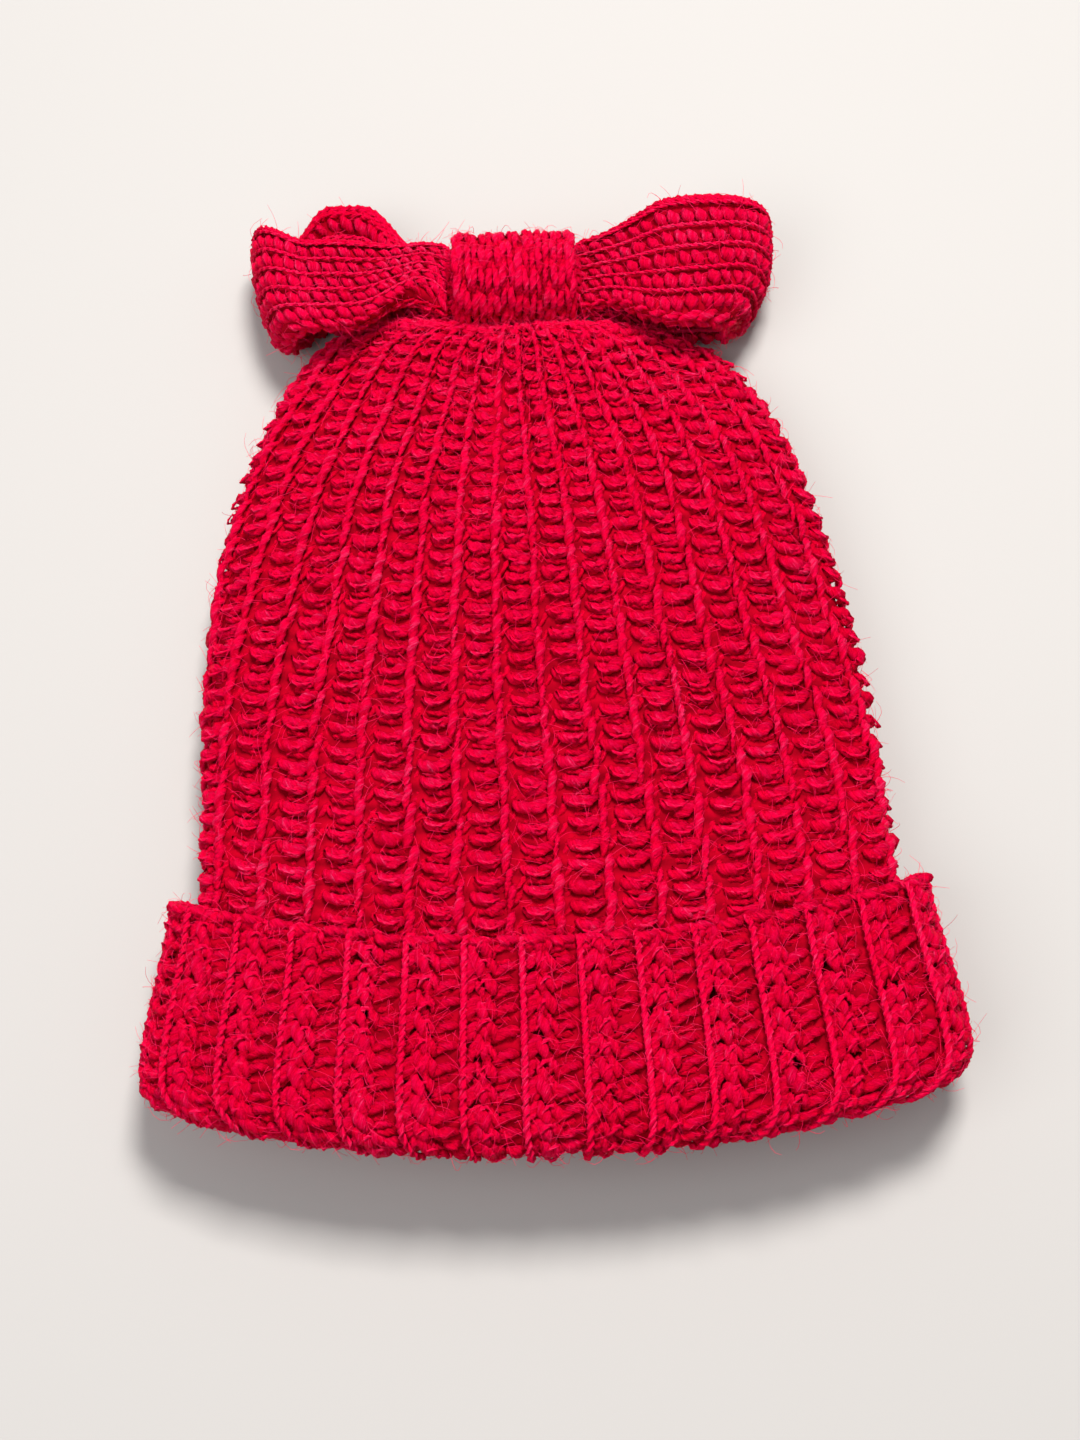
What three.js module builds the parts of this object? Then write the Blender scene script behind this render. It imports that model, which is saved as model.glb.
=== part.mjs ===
// A chunky ribbed winter hat with a turned-up cuff and a knitted bow, lying flat on its back.
// Millimetres, +Z up. +Y runs from the mouth to the bow, and z = 0 is the surface that the hat lies on.
import * as THREE from "three";

// The knit
const fabric = 7; // thickness of the ribbed fabric
const easing = 0.4; // room between two layers that lie on each other
const foldRoom = 1.2; // room inside the fold, past the end of the inner layer
const yarn = 3; // diameter of the chunky yarn that the stitches are sewn with

// The hat, measured lying flat
const crownHalfWidth = 91;
const shoulderY = -20; // where the straight sides end and the crown begins to close
const crownRise = 136; // from the shoulder to the top of the crown
const crownRoundness = 0.2; // a smaller value has squarer shoulders
const mouthCavity = 11; // height of the room for the head, at the mouth
const crownCavity = 14; // and in the crown
const gathered = 2; // how much thicker the drawn-in fabric is at the very top, on each side
const gatherRadius = 5; // the hole that the drawn-in stitches leave at the top
const gatherFlatness = 0.6; // height of that hole over its width
const cuffY = -58; // top edge of the cuff, at the sides
const foldY = -105; // end of the inner layer, where the fabric turns up
const mouthFlare = 6.5; // how much wider the hat is at the mouth, on each side
const drape = 40; // distance over which the back layer comes down from the cuff to the table
const sag = 15; // how much lower the mouth and the cuff hang in the middle than at the sides
const tuck = 10; // how far the back of the mouth lies behind its front
const aside = 3; // how far the mouth lies to the right of the crown's centre line
const straightAgain = 60; // where the courses run straight across again
const pressed = 3.2; // squareness of the flattened section: 2 is an ellipse
const flatStrip = 1; // how far the underside is pressed against the table

// The bow
const wrapLength = 36; // along X
const wrapWall = 4.6;
const neckHalf = 6.8; // half size of the pinched middle of the band
const neckReach = 1.5; // how far the neck stands out of each end of the wrap
const bindingRadius = 0.85; // yarn wound tight round the neck, under the wrap
const loopEnd = 76; // furthest X of each loop
const loopWidth = 38; // width of the band, away from the neck
const loopDrop = 19; // how far a loop reaches towards the crown, from the middle of the bow
const rootHalf = 11.5; // half width of a loop where it comes out of the wrap
const bandThickness = 6;
const loopHeight = 32; // top of a loop's front layer
const leftSkew = 11.5; // how far the back layer of the left loop lies above its front layer
const rightSkew = 4;
const leftSlip = 11; // how far the top edge of the left loop's front layer has slipped down
const leftCurl = 9; // and how far the back layer's edge curls up above it
const leftShorter = 9; // how much shorter the left loop is at the edge next to the crown
const rightShorter = 13;
const pinchEnd = 46; // X where the band has opened to its full width
const liftZ = 0.5; // the bow's lowest point above the table

const around = 64; // facets round the hat
const cuffSteps = 6; // rings along the cuff, shared by the crown inside it
const topY = shoulderY + crownRise;
const wrapHalf = neckHalf + 2 * easing + 2 * bindingRadius + wrapWall;
const wrapCentreZ = liftZ + yarn + easing + wrapHalf;
const bowY = topY + easing + wrapHalf; // the wrap lies against the top of the crown
const lowestY = foldY - fabric - easing / 2 - sag;
const highestY = bowY + loopWidth - loopDrop + leftSkew;
const middleY = (lowestY + highestY) / 2;

const knit = (hex) => new THREE.MeshStandardMaterial({ color: hex, roughness: 0.85, metalness: 0 });
const hatKnit = knit(0xc4002a);
const bowKnit = knit(0xcc0330);
const sewingYarn = knit(0xa80024);

const smooth = (t) => THREE.MathUtils.smoothstep(t, 0, 1);
const toPower = (value, power) => Math.sign(value) * Math.abs(value) ** power;

// Size of the crown's outer surface at a height y along the hat, and where its underside lies.
function sectionAt(y) {
  const rise = THREE.MathUtils.clamp((y - shoulderY) / crownRise, 0, 1);
  const flare = mouthFlare * smooth((cuffY - y) / (cuffY - foldY));
  const opening = THREE.MathUtils.lerp(mouthCavity, crownCavity, smooth((y - cuffY) / drape));
  return {
    halfWidth: crownHalfWidth * (1 - rise ** 1.5) ** crownRoundness + flare,
    halfHeight: fabric + (opening / 2) * (1 - rise ** 4) + gathered * rise ** 16,
    underside: (fabric + easing) * (1 - smooth((y - cuffY) / drape)),
  };
}

// Where a point of the upright hat comes to lie: the mouth sags in the middle, its back is tucked in
// and it lies a little to one side. The point's up is 1 on the front of the hat and -1 on the back.
function lying(x, y, up) {
  const share = 1 - smooth((y - cuffY) / (straightAgain - cuffY));
  const across = Math.min(Math.abs(x) / (crownHalfWidth + mouthFlare + fabric), 1);
  const down = sag * (1 - across * across) - (tuck * (1 - up)) / 2;
  return [x + aside * share, y - down * share];
}

// Turns a closed profile round the Y axis and presses it flat. Each ring gives its y, its half
// width and half height, and the section that it belongs to.
function pressedTube(rings) {
  const outline = rings.map((ring) => new THREE.Vector2(ring.halfWidth, ring.y));
  const geometry = new THREE.LatheGeometry([...outline, outline[0]], around);
  const position = geometry.getAttribute("position");
  const perTurn = rings.length + 1;
  for (let i = 0; i < position.count; i++) {
    const ring = rings[(i % perTurn) % rings.length];
    const angle = ((Math.floor(i / perTurn) % around) / around) * 2 * Math.PI;
    const power = 2 / pressed;
    const x = ring.halfWidth * toPower(Math.sin(angle), power);
    const up = toPower(Math.cos(angle), power);
    const centreZ = ring.section.underside + ring.section.halfHeight;
    const lowest = centreZ - ring.halfHeight;
    const z = centreZ + (ring.halfHeight + (up < 0 ? flatStrip : 0)) * up;
    position.setXYZ(i, ...lying(x, ring.y, up), Math.max(z, lowest));
  }
  return geometry;
}

// A ring that lies a distance outside the crown's outer surface, or inside it when negative.
function offsetRing(y, outward) {
  const section = sectionAt(y);
  return {
    y,
    halfWidth: section.halfWidth + outward,
    halfHeight: section.halfHeight + outward,
    section,
  };
}

// The knitted tube of the hat, from the fold at the mouth to the gathered top.
function crownShell() {
  const straight = 3;
  const domed = 14;
  const lastAngle = 1.53;
  const wall = (inset) => {
    const rings = [];
    for (let i = 0; i < cuffSteps; i++)
      rings.push(offsetRing(THREE.MathUtils.lerp(foldY, cuffY, i / cuffSteps), -inset));
    for (let i = 0; i < straight; i++)
      rings.push(offsetRing(THREE.MathUtils.lerp(cuffY, shoulderY, i / straight), -inset));
    for (let i = 0; i <= domed; i++) {
      const angle = (lastAngle * i) / domed;
      const ring = offsetRing(shoulderY + crownRise * Math.sin(angle), -inset);
      const closing = inset * Math.sin(angle);
      rings.push({ ...ring, y: ring.y - closing, halfWidth: Math.max(ring.halfWidth, gatherRadius) });
    }
    return rings;
  };
  const top = sectionAt(topY);
  const holeHalfHeight = gatherRadius * gatherFlatness;
  const hole = (y) => ({ y, halfWidth: gatherRadius, halfHeight: holeHalfHeight, section: top });
  const outside = [...wall(0), hole(topY)];
  const inside = [...wall(fabric), hole(topY - fabric)].map((ring) => ({
    ...ring,
    halfHeight: Math.max(ring.halfHeight, holeHalfHeight),
  }));
  return pressedTube([...outside, ...inside.reverse()]);
}

// The same fabric turned up outside the crown, with the rolled fold that closes over its end.
function turnedUpCuff() {
  const foldSteps = 8;
  const rollRadius = fabric + easing / 2;
  const rings = [];
  for (let i = 0; i <= cuffSteps; i++)
    rings.push(offsetRing(THREE.MathUtils.lerp(cuffY, foldY, i / cuffSteps), easing + fabric));
  for (let i = 1; i < foldSteps; i++) {
    const turn = (Math.PI * i) / foldSteps;
    const ring = offsetRing(foldY, easing / 2 + rollRadius * Math.cos(turn));
    rings.push({ ...ring, y: foldY - rollRadius * Math.sin(turn) });
  }
  rings.push(offsetRing(foldY - foldRoom, -fabric));
  rings.push(offsetRing(foldY - foldRoom, easing));
  for (let i = cuffSteps; i >= 0; i--)
    rings.push(offsetRing(THREE.MathUtils.lerp(cuffY, foldY, i / cuffSteps), easing));
  return pressedTube(rings.reverse());
}

// Drawn-up yarn that lies in the hole at the top of the crown and keeps it closed.
function gatherYarn() {
  const tube = yarn / 2;
  const ringRadius = gatherRadius - easing - tube;
  const ring = new THREE.TorusGeometry(ringRadius, tube, 8, 20);
  ring.rotateX(Math.PI / 2);
  const flat = (gatherRadius * gatherFlatness - easing) / (ringRadius + tube);
  ring.scale(1, 1, flat);
  const section = sectionAt(topY);
  ring.translate(0, topY - fabric / 2, section.underside + section.halfHeight);
  return ring;
}

// An oval bar or ring that lies along X, centred on the bow.
function alongBow(halfSize, length, holeHalfSize = 0) {
  const outline = new THREE.Shape().absellipse(0, 0, halfSize, halfSize, 0, 2 * Math.PI);
  if (holeHalfSize > 0)
    outline.holes.push(new THREE.Path().absellipse(0, 0, holeHalfSize, holeHalfSize, 0, 2 * Math.PI));
  const bar = new THREE.ExtrudeGeometry(outline, { depth: length, bevelEnabled: false, curveSegments: 16 });
  bar.translate(0, 0, -length / 2);
  bar.rotateY(Math.PI / 2);
  bar.translate(0, bowY, wrapCentreZ);
  return bar;
}

// Width of the band at a distance x from the middle of the bow, as a share of its full width. Out of the
// wrap it spreads a little before it opens, for a shorter way on the side next to the crown.
function opened(x, towardsCrown) {
  const root = wrapLength / 2 + neckReach;
  const narrow = neckHalf / (loopWidth / 2);
  const spread = (rootHalf - neckHalf) / (loopWidth / 2);
  const spreadLength = THREE.MathUtils.lerp(20, 14, towardsCrown);
  return (
    THREE.MathUtils.lerp(narrow, 1, smooth((x - root) / (pinchEnd - root))) +
    spread * (1 - smooth((x - root) / spreadLength))
  );
}

// One loop of the bow: a band that runs out from the neck, turns over and comes back under itself.
function bowLoop(side, skew, shorter, slip = 0, curl = 0) {
  const rootX = wrapLength / 2 + neckReach + easing;
  const rootLow = wrapCentreZ - neckHalf * 0.75;
  const rootHigh = wrapCentreZ + neckHalf * 0.35;
  const outline = new THREE.Shape();
  outline.moveTo(rootX, rootLow);
  outline.bezierCurveTo(rootX + 16, rootLow - 4, rootX + 18, liftZ, rootX + 32, liftZ);
  outline.bezierCurveTo(loopEnd - 8, liftZ, loopEnd, liftZ + 3, loopEnd, liftZ + 13);
  outline.bezierCurveTo(loopEnd, loopHeight - 6, loopEnd - 10, loopHeight, loopEnd - 22, loopHeight);
  outline.bezierCurveTo(rootX + 18, loopHeight, rootX + 10, rootHigh + 2, rootX, rootHigh);
  const inside = new THREE.Path();
  const innerX = rootX + 13;
  const innerLow = liftZ + bandThickness;
  const innerHigh = loopHeight - bandThickness;
  const innerEnd = loopEnd - bandThickness;
  const innerZ = (innerLow + innerHigh) / 2 + 1;
  inside.moveTo(innerX, innerZ);
  inside.bezierCurveTo(innerX + 8, innerHigh - 2, innerX + 14, innerHigh, innerEnd - 17, innerHigh);
  inside.bezierCurveTo(innerEnd - 8, innerHigh, innerEnd, innerHigh - 4, innerEnd, innerZ - 2);
  inside.bezierCurveTo(innerEnd, innerLow + 2, innerEnd - 5, innerLow, innerEnd - 12, innerLow);
  inside.bezierCurveTo(innerX + 16, innerLow, innerX + 8, innerLow + 3, innerX, innerZ);
  outline.holes.push(inside);
  const band = new THREE.ExtrudeGeometry(outline, {
    depth: loopWidth,
    steps: 6,
    bevelEnabled: false,
    curveSegments: 10,
  });
  band.rotateX(Math.PI / 2);
  band.translate(0, loopWidth - loopDrop, 0);
  const position = band.getAttribute("position");
  for (let i = 0; i < position.count; i++) {
    const z = position.getZ(i);
    const towardsCrown = 1 - (position.getY(i) + loopDrop) / loopWidth;
    const out = (position.getX(i) - rootX) / (loopEnd - rootX);
    const x = position.getX(i) - shorter * towardsCrown ** 3 * out;
    const isBack = smooth((loopHeight * 0.6 - z) / (loopHeight * 0.5));
    const isFront = smooth((z - loopHeight / 2) / (loopHeight / 4));
    const back = skew * isBack * smooth((x - rootX) / 24) * smooth((loopEnd - 6 - x) / 16);
    const slipped = slip * isFront * (1 - towardsCrown) * smooth((x - rootX) / 26) * smooth((loopEnd + 2 - x) / 20);
    const curled = curl * isBack * (1 - towardsCrown) ** 2 * smooth((x - rootX - 4) / 14) * smooth((loopEnd - 8 - x) / 14);
    const y = bowY + position.getY(i) * opened(x, towardsCrown) + back - slipped;
    position.setXYZ(i, side * x, y, z + curled);
  }
  if (side > 0) return band;
  return turnedRightWayOut(band);
}

// A mirrored shape has its faces pointing in, so each triangle is wound the other way.
function turnedRightWayOut(geometry) {
  const position = geometry.getAttribute("position");
  const second = new THREE.Vector3();
  const third = new THREE.Vector3();
  for (let i = 0; i < position.count; i += 3) {
    second.fromBufferAttribute(position, i + 1);
    third.fromBufferAttribute(position, i + 2);
    position.setXYZ(i + 1, third.x, third.y, third.z);
    position.setXYZ(i + 2, second.x, second.y, second.z);
  }
  return geometry;
}

// Yarn wound round the pinched band before the wrap covers it.
function neckBinding() {
  const ring = new THREE.TorusGeometry(neckHalf + easing + bindingRadius, bindingRadius, 8, 32);
  ring.rotateY(Math.PI / 2);
  ring.translate(0, bowY, wrapCentreZ);
  return ring;
}

// A single short sewn stitch, lying along X or Y.
function stitch(length, alongX) {
  const bar = new THREE.CapsuleGeometry(yarn / 2, length - yarn, 4, 10);
  if (alongX) bar.rotateZ(Math.PI / 2);
  return bar;
}

const hat = new THREE.Group();
hat.position.set(-aside, -middleY, 0);

function add(name, geometry, material, place = [0, 0, 0]) {
  const mesh = new THREE.Mesh(geometry, material);
  mesh.name = name;
  mesh.position.set(...place);
  hat.add(mesh);
}

add("crown_shell", crownShell(), hatKnit);
add("turned_up_cuff", turnedUpCuff(), hatKnit);
add("crown_gather_yarn", gatherYarn(), sewingYarn);

add("bow_neck", alongBow(neckHalf, wrapLength + 2 * neckReach), bowKnit);
add("neck_binding_yarn", neckBinding(), sewingYarn);
add("bow_centre_wrap", alongBow(wrapHalf, wrapLength, wrapHalf - wrapWall), bowKnit);
add("bow_right_loop", bowLoop(1, rightSkew, rightShorter), bowKnit);
add("bow_left_loop", bowLoop(-1, leftSkew, leftShorter, leftSlip, leftCurl), bowKnit);

const wrapStitches = 3;
const wrapStitchPitch = 10;
for (let i = 0; i < wrapStitches; i++) {
  const x = (i - (wrapStitches - 1) / 2) * wrapStitchPitch;
  add(`wrap_closing_stitch_${i + 1}`, stitch(8, false), sewingYarn, [x, bowY, liftZ + yarn / 2]);
}

// The stitches that hold the bow lie in the groove under the wrap, against the top of the crown.
const seamY = topY + easing + yarn / 2;
const fromWrap = wrapHalf + easing + yarn / 2;
const seamZ = wrapCentreZ - Math.sqrt(fromWrap ** 2 - (bowY - seamY) ** 2);
for (const [side, name] of [[-1, "left"], [1, "right"]])
  add(`bow_anchor_stitch_${name}`, stitch(12, true), sewingYarn, [side * 8, seamY, seamZ]);

export default hat;
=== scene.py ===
import math

import bpy
import numpy as np
from mathutils import Matrix, Vector


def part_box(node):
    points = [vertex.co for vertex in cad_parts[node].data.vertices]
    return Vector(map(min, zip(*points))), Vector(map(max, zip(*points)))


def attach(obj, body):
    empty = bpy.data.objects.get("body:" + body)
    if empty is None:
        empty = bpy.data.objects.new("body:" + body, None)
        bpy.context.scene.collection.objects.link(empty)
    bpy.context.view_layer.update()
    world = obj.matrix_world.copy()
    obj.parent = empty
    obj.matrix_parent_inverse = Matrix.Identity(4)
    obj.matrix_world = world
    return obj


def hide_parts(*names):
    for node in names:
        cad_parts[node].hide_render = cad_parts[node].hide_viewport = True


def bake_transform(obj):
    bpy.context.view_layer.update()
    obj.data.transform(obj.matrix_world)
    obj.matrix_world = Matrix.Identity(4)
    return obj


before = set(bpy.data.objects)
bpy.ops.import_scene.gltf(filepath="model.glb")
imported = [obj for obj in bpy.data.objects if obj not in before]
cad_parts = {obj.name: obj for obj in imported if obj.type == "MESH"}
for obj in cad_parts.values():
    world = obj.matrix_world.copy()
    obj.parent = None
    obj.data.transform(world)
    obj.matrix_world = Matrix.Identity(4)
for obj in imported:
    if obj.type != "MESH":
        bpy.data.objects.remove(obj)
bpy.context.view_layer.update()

# All shapes are worked out in millimetres with y = 0 halfway up the hat, as it was knitted,
# and moved into the frame at the very end.
mmPerMetre = 1000
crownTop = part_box("crown_shell")[1][1] * mmPerMetre

scene = bpy.context.scene
print("camera")

cameraSettings = {
    "aim": (-0.0004, -0.0168, 0.0),
    "elevation": 69.0,
    "turn": 2.2,
    "distance": 0.639,
    "lens": 57.5,
    "sensor": 36.0,
    "nearest": 0.01,
}


def addCamera(settings):
    camera = bpy.data.cameras.new("hatCamera")
    camera.lens = settings["lens"]
    camera.sensor_width = settings["sensor"]
    camera.clip_start = settings["nearest"]
    elevation = math.radians(settings["elevation"])
    forward = Vector((0, math.cos(elevation), -math.sin(elevation)))
    turn = Matrix.Rotation(-math.radians(settings["turn"]), 3, "Z")
    forward = turn @ forward
    right = turn @ Vector((1, 0, 0))
    up = right.cross(forward)
    place = Vector(settings["aim"]) - forward * settings["distance"]
    axes = Matrix((right, up, -forward)).transposed().to_4x4()
    holder = bpy.data.objects.new("hatCamera", camera)
    holder.matrix_world = Matrix.Translation(place) @ axes
    scene.collection.objects.link(holder)
    scene.camera = holder


addCamera(cameraSettings)

# Node graphs


# One output of a node. Arithmetic on it adds Math nodes to its graph.
class Wire:
    def __init__(self, graph, socket):
        self.graph = graph
        self.socket = socket

    def __add__(self, other):
        return self.graph.math("ADD", self, other)

    def __sub__(self, other):
        return self.graph.math("SUBTRACT", self, other)

    def __mul__(self, other):
        return self.graph.math("MULTIPLY", self, other)

    def __rsub__(self, other):
        return self.graph.math("SUBTRACT", other, self)

    __radd__ = __add__
    __rmul__ = __mul__


class Graph:
    def __init__(self, tree):
        self.tree = tree

    # Adds any node: its settings first, then values or wires for its sockets, by name or number.
    def node(self, kind, settings=None, sockets=None, output=0):
        made = self.tree.nodes.new(kind)
        for name, value in (settings or {}).items():
            if name == "stops":
                self.setStops(made.color_ramp, value)
            else:
                setattr(made, name, value)
        for name, value in (sockets or {}).items():
            self.join(made.inputs[name], value)
        return Wire(self, made.outputs[output]) if len(made.outputs) else made

    def join(self, socket, value):
        if isinstance(value, Wire):
            self.tree.links.new(value.socket, socket)
        else:
            socket.default_value = value

    def setStops(self, ramp, stops):
        while len(ramp.elements) < len(stops):
            ramp.elements.new(0.5)
        for element, (position, tint) in zip(ramp.elements, stops):
            element.position = position
            element.color = tint

    def math(self, operation, first, second=0.0):
        return self.node("ShaderNodeMath", {"operation": operation}, {0: first, 1: second})

    def noise(self, place, **sockets):
        return self.node("ShaderNodeTexNoise", {}, {"Vector": place, **sockets})

    def split(self, vector):
        parts = self.node("ShaderNodeSeparateXYZ", {}, {0: vector}).socket.node
        return [Wire(self, socket) for socket in parts.outputs]

    def bump(self, height, distance, strength=1.0):
        return self.node("ShaderNodeBump", {}, {"Strength": strength, "Distance": distance, "Height": height})

    # Finishes a material with one surface shader.
    def surface(self, sockets):
        shader = self.node("ShaderNodeBsdfPrincipled", {}, sockets)
        self.node("ShaderNodeOutputMaterial", {}, {"Surface": shader})

    # Keeps a value on the points of a geometry, or reads it back.
    def store(self, geometry, name, value, kind="FLOAT"):
        return self.node(
            "GeometryNodeStoreNamedAttribute",
            {"data_type": kind, "domain": "POINT"},
            {"Geometry": geometry, "Name": name, "Value": value},
        )

    def stored(self, name, kind="FLOAT"):
        return self.node("GeometryNodeInputNamedAttribute", {"data_type": kind}, {"Name": name})


# Materials


def newMaterial(name):
    material = bpy.data.materials.new(name)
    material.use_nodes = True
    material.node_tree.nodes.clear()
    return material, Graph(material.node_tree)


def colour(red, green, blue):
    def linear(c):
        c /= 255
        return c / 12.92 if c <= 0.04045 else ((c + 0.055) / 1.055) ** 2.4

    return (linear(red), linear(green), linear(blue), 1.0)


# The ramp's colours stand at these places, from a dark red painted shade up to a pink painted highlight. Tone
# is the weighted sum of painted shade (depth, groove), painted fibre highlights (fibre, wisp) and random tone
# (shade, cloud).
yarnLook = {
    "colours": [colour(182, 0, 26), colour(236, 0, 48), colour(255, 4, 76), colour(255, 72, 124)],
    "places": [0.0, 0.48, 0.84, 1.0],
    "weights": {"depth": 0.54, "fibre": 1.45, "paintedHighlightWisp": 0.9, "groove": 0.18, "shade": 0.14, "cloud": 0.30},
    "darkening": 1.17,
    "fibreAcross": 2.4,
    "fibreAlong": 0.34,
    "fibreShift": 50.0,
    "fibreBump": 0.0011,
    "wispBump": 0.45,
    "plyBump": 0.0005,
    "reliefPerRadius": 720.0,
    "roughness": 0.35,
    "roughnessSpread": 0.35,
}
# Loose fibres get lighter, pinker colours as painted highlight for the light they catch.
looseFibreHighlightLook = {
    **yarnLook,
    "colours": [colour(230, 0, 46), colour(255, 0, 70), colour(255, 30, 90), colour(255, 80, 128)],
}
# The lining's dark reds are painted shade for the gaps between the stitches.
shadedLiningLook = {
    "colours": [colour(120, 0, 16), colour(182, 0, 32)],
    "places": [0.2, 0.9],
    "weights": {"fibre": 0.6, "courses": 0.4},
    "bump": 0.0008,
    "bumpStrength": 0.8,
}


def rampOf(g, look, tone):
    return g.node("ShaderNodeValToRGB", {"stops": list(zip(look["places"], look["colours"]))}, {"Fac": tone})


# Twisted wool: the plies and the fibres follow the strand. Lower strands and ply grooves are darkened as
# painted shade, and fibre streaks are lightened as painted highlights.
def yarnMaterial(name, look):
    material, g = newMaterial(name)
    weights = look["weights"]
    ring = g.node("ShaderNodeAttribute", {"attribute_name": "yarnRing"}, output="Vector")
    across, beside, along = g.split(ring)
    # The depth attribute darkens lower strands, as painted shade in the hollows between stitches.
    depth, shade, radius = (
        g.node("ShaderNodeAttribute", {"attribute_name": label}, output="Fac")
        for label in ("yarnDepth", "yarnShade", "yarnRadius")
    )
    # The groove darkens the colour where the two plies meet, as painted shade, and also dents the bump.
    groove = beside * beside * beside * beside  # where the two plies meet
    fibrePlace = g.node(
        "ShaderNodeCombineXYZ",
        sockets={
            0: across * look["fibreAcross"],
            1: beside * look["fibreAcross"],
            2: along * look["fibreAlong"] + shade * look["fibreShift"],
        },
    )
    # The fibre and wisp noises are fibre texture and also lighten streaks along the strand as painted
    # highlights; they shape the bump too.
    fibre = g.noise(fibrePlace, Scale=1.15, Detail=5.0, Roughness=0.68)
    paintedHighlightWisp = g.noise(fibrePlace, Scale=3.6, Detail=3.0, Roughness=0.7)
    cloud = g.noise(g.node("ShaderNodeTexCoord", output="Object"), Scale=48.0, Detail=2.0)
    tone = depth * weights["depth"] + fibre * weights["fibre"] + paintedHighlightWisp * weights["paintedHighlightWisp"]
    tone = tone - groove * weights["groove"] + shade * weights["shade"] + cloud * weights["cloud"]
    tone = tone - look["darkening"]
    relief = (fibre + paintedHighlightWisp * look["wispBump"]) * look["fibreBump"] - groove * look["plyBump"]
    height = relief * radius * look["reliefPerRadius"]  # a thin strand has a finer relief
    g.surface(
        {
            "Base Color": rampOf(g, look, tone),
            "Roughness": fibre * look["roughnessSpread"] + look["roughness"],
            "Normal": g.bump(height, 1.0),
            "Sheen Weight": 0.12,
            "Sheen Roughness": 0.45,
            "Sheen Tint": (1.0, 0.0, 0.05, 1.0),
            "Specular IOR Level": 0.06,
            "Specular Tint": (1.0, 0.10, 0.20, 1.0),
        }
    )
    return material


# The dense fabric between the stitches, with fine courses. Its deeper red is painted shade for the gaps
# between the stitches.
def liningMaterial(name, look):
    material, g = newMaterial(name)
    place = g.node("ShaderNodeTexCoord", output="Object")
    fibre = g.noise(place, Scale=420.0, Detail=4.0)
    courses = g.node(
        "ShaderNodeTexWave",
        {"bands_direction": "Y"},
        {"Vector": place, "Scale": 50.0, "Distortion": 3.0, "Detail": 2.0},
    )
    tone = fibre * look["weights"]["fibre"] + courses * look["weights"]["courses"]
    g.surface(
        {
            "Base Color": rampOf(g, look, tone),
            "Roughness": 0.85,
            "Normal": g.bump(tone, look["bump"], look["bumpStrength"]),
            "Specular IOR Level": 0.02,
        }
    )
    return material


hatYarn, bowYarn, sewingYarn = (yarnMaterial(name, yarnLook) for name in ("hatYarn", "bowYarn", "sewingYarn"))
looseFibre = yarnMaterial("looseFibres", looseFibreHighlightLook)
lining = liningMaterial("hatLining", shadedLiningLook)

# What the yarn tree can be told, and what it takes when it isn't.
yarnInputs = {
    "Sides": ("Int", 7),
    "Thickness": ("Float", 1.08),
    "Unevenness": ("Float", 0.45),
    "Flatness": ("Float", 0.78),
    "Twist per mm": ("Float", 0.95),
    "Seed": ("Float", 3.0),
}
lumpScale = 330.0


# The geometry tree that sweeps a strand of yarn along every stitch path.
def yarnTree(choices):
    tree = bpy.data.node_groups.new("sweptYarn", "GeometryNodeTree")
    face = tree.interface
    for way in ("INPUT", "OUTPUT"):
        face.new_socket("Geometry", in_out=way, socket_type="NodeSocketGeometry")
    for name, (kind, value) in choices.items():
        face.new_socket(name, in_out="INPUT", socket_type="NodeSocket" + kind).default_value = value
    face.new_socket("Yarn", in_out="INPUT", socket_type="NodeSocketMaterial")
    g = Graph(tree)
    start = tree.nodes.new("NodeGroupInput")
    given = {socket.name: Wire(g, socket) for socket in start.outputs if socket.name}
    length = g.node("GeometryNodeSplineParameter", output="Length") * mmPerMetre
    lumps = g.node(
        "ShaderNodeTexNoise", {"noise_dimensions": "4D"}, {"W": given["Seed"], "Scale": lumpScale}
    )
    radius = g.stored("yarnRadius") * given["Thickness"]
    radius = radius * (1.0 + (lumps - 0.5) * given["Unevenness"])
    paths = g.node("GeometryNodeMeshToCurve", {}, {"Mesh": given["Geometry"]})
    paths = g.store(paths, "along", length)
    paths = g.node("GeometryNodeSetCurveRadius", {}, {"Curve": paths, "Radius": radius})
    tilt = length * given["Twist per mm"]
    paths = g.node("GeometryNodeSetCurveTilt", {}, {"Curve": paths, "Tilt": tilt})
    circle = g.node(
        "GeometryNodeCurvePrimitiveCircle", {"mode": "RADIUS"}, {"Resolution": given["Sides"], "Radius": 1.0}
    )
    corner = g.node("GeometryNodeInputPosition")
    circle = g.store(circle, "corner", corner, "FLOAT_VECTOR")
    oval = g.node("ShaderNodeCombineXYZ", sockets={0: 1.0, 1: given["Flatness"], 2: 1.0})
    flattened = g.node("ShaderNodeVectorMath", {"operation": "MULTIPLY"}, {0: corner, 1: oval})
    circle = g.node("GeometryNodeSetPosition", {}, {"Geometry": circle, "Position": flattened})
    scale = g.node("GeometryNodeInputRadius")
    sweep = {"Curve": paths, "Profile Curve": circle, "Scale": scale, "Fill Caps": True}
    made = g.node("GeometryNodeCurveToMesh", {}, sweep)
    across, beside, _ = g.split(g.stored("corner", "FLOAT_VECTOR"))
    ring = g.node("ShaderNodeCombineXYZ", sockets={0: across, 1: beside, 2: g.stored("along")})
    made = g.store(made, "yarnRing", ring, "FLOAT_VECTOR")
    for name in ("along", "corner"):
        made = g.node("GeometryNodeRemoveAttribute", {}, {"Geometry": made, "Name": name})
    made = g.node("GeometryNodeSetShadeSmooth", {}, {"Geometry": made})
    made = g.node("GeometryNodeRealizeInstances", {}, {"Geometry": made})
    made = g.node("GeometryNodeSetMaterial", {}, {"Geometry": made, "Material": given["Yarn"]})
    g.node("NodeGroupOutput", {}, {"Geometry": made})
    return tree


sweptYarn = yarnTree(yarnInputs)


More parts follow.
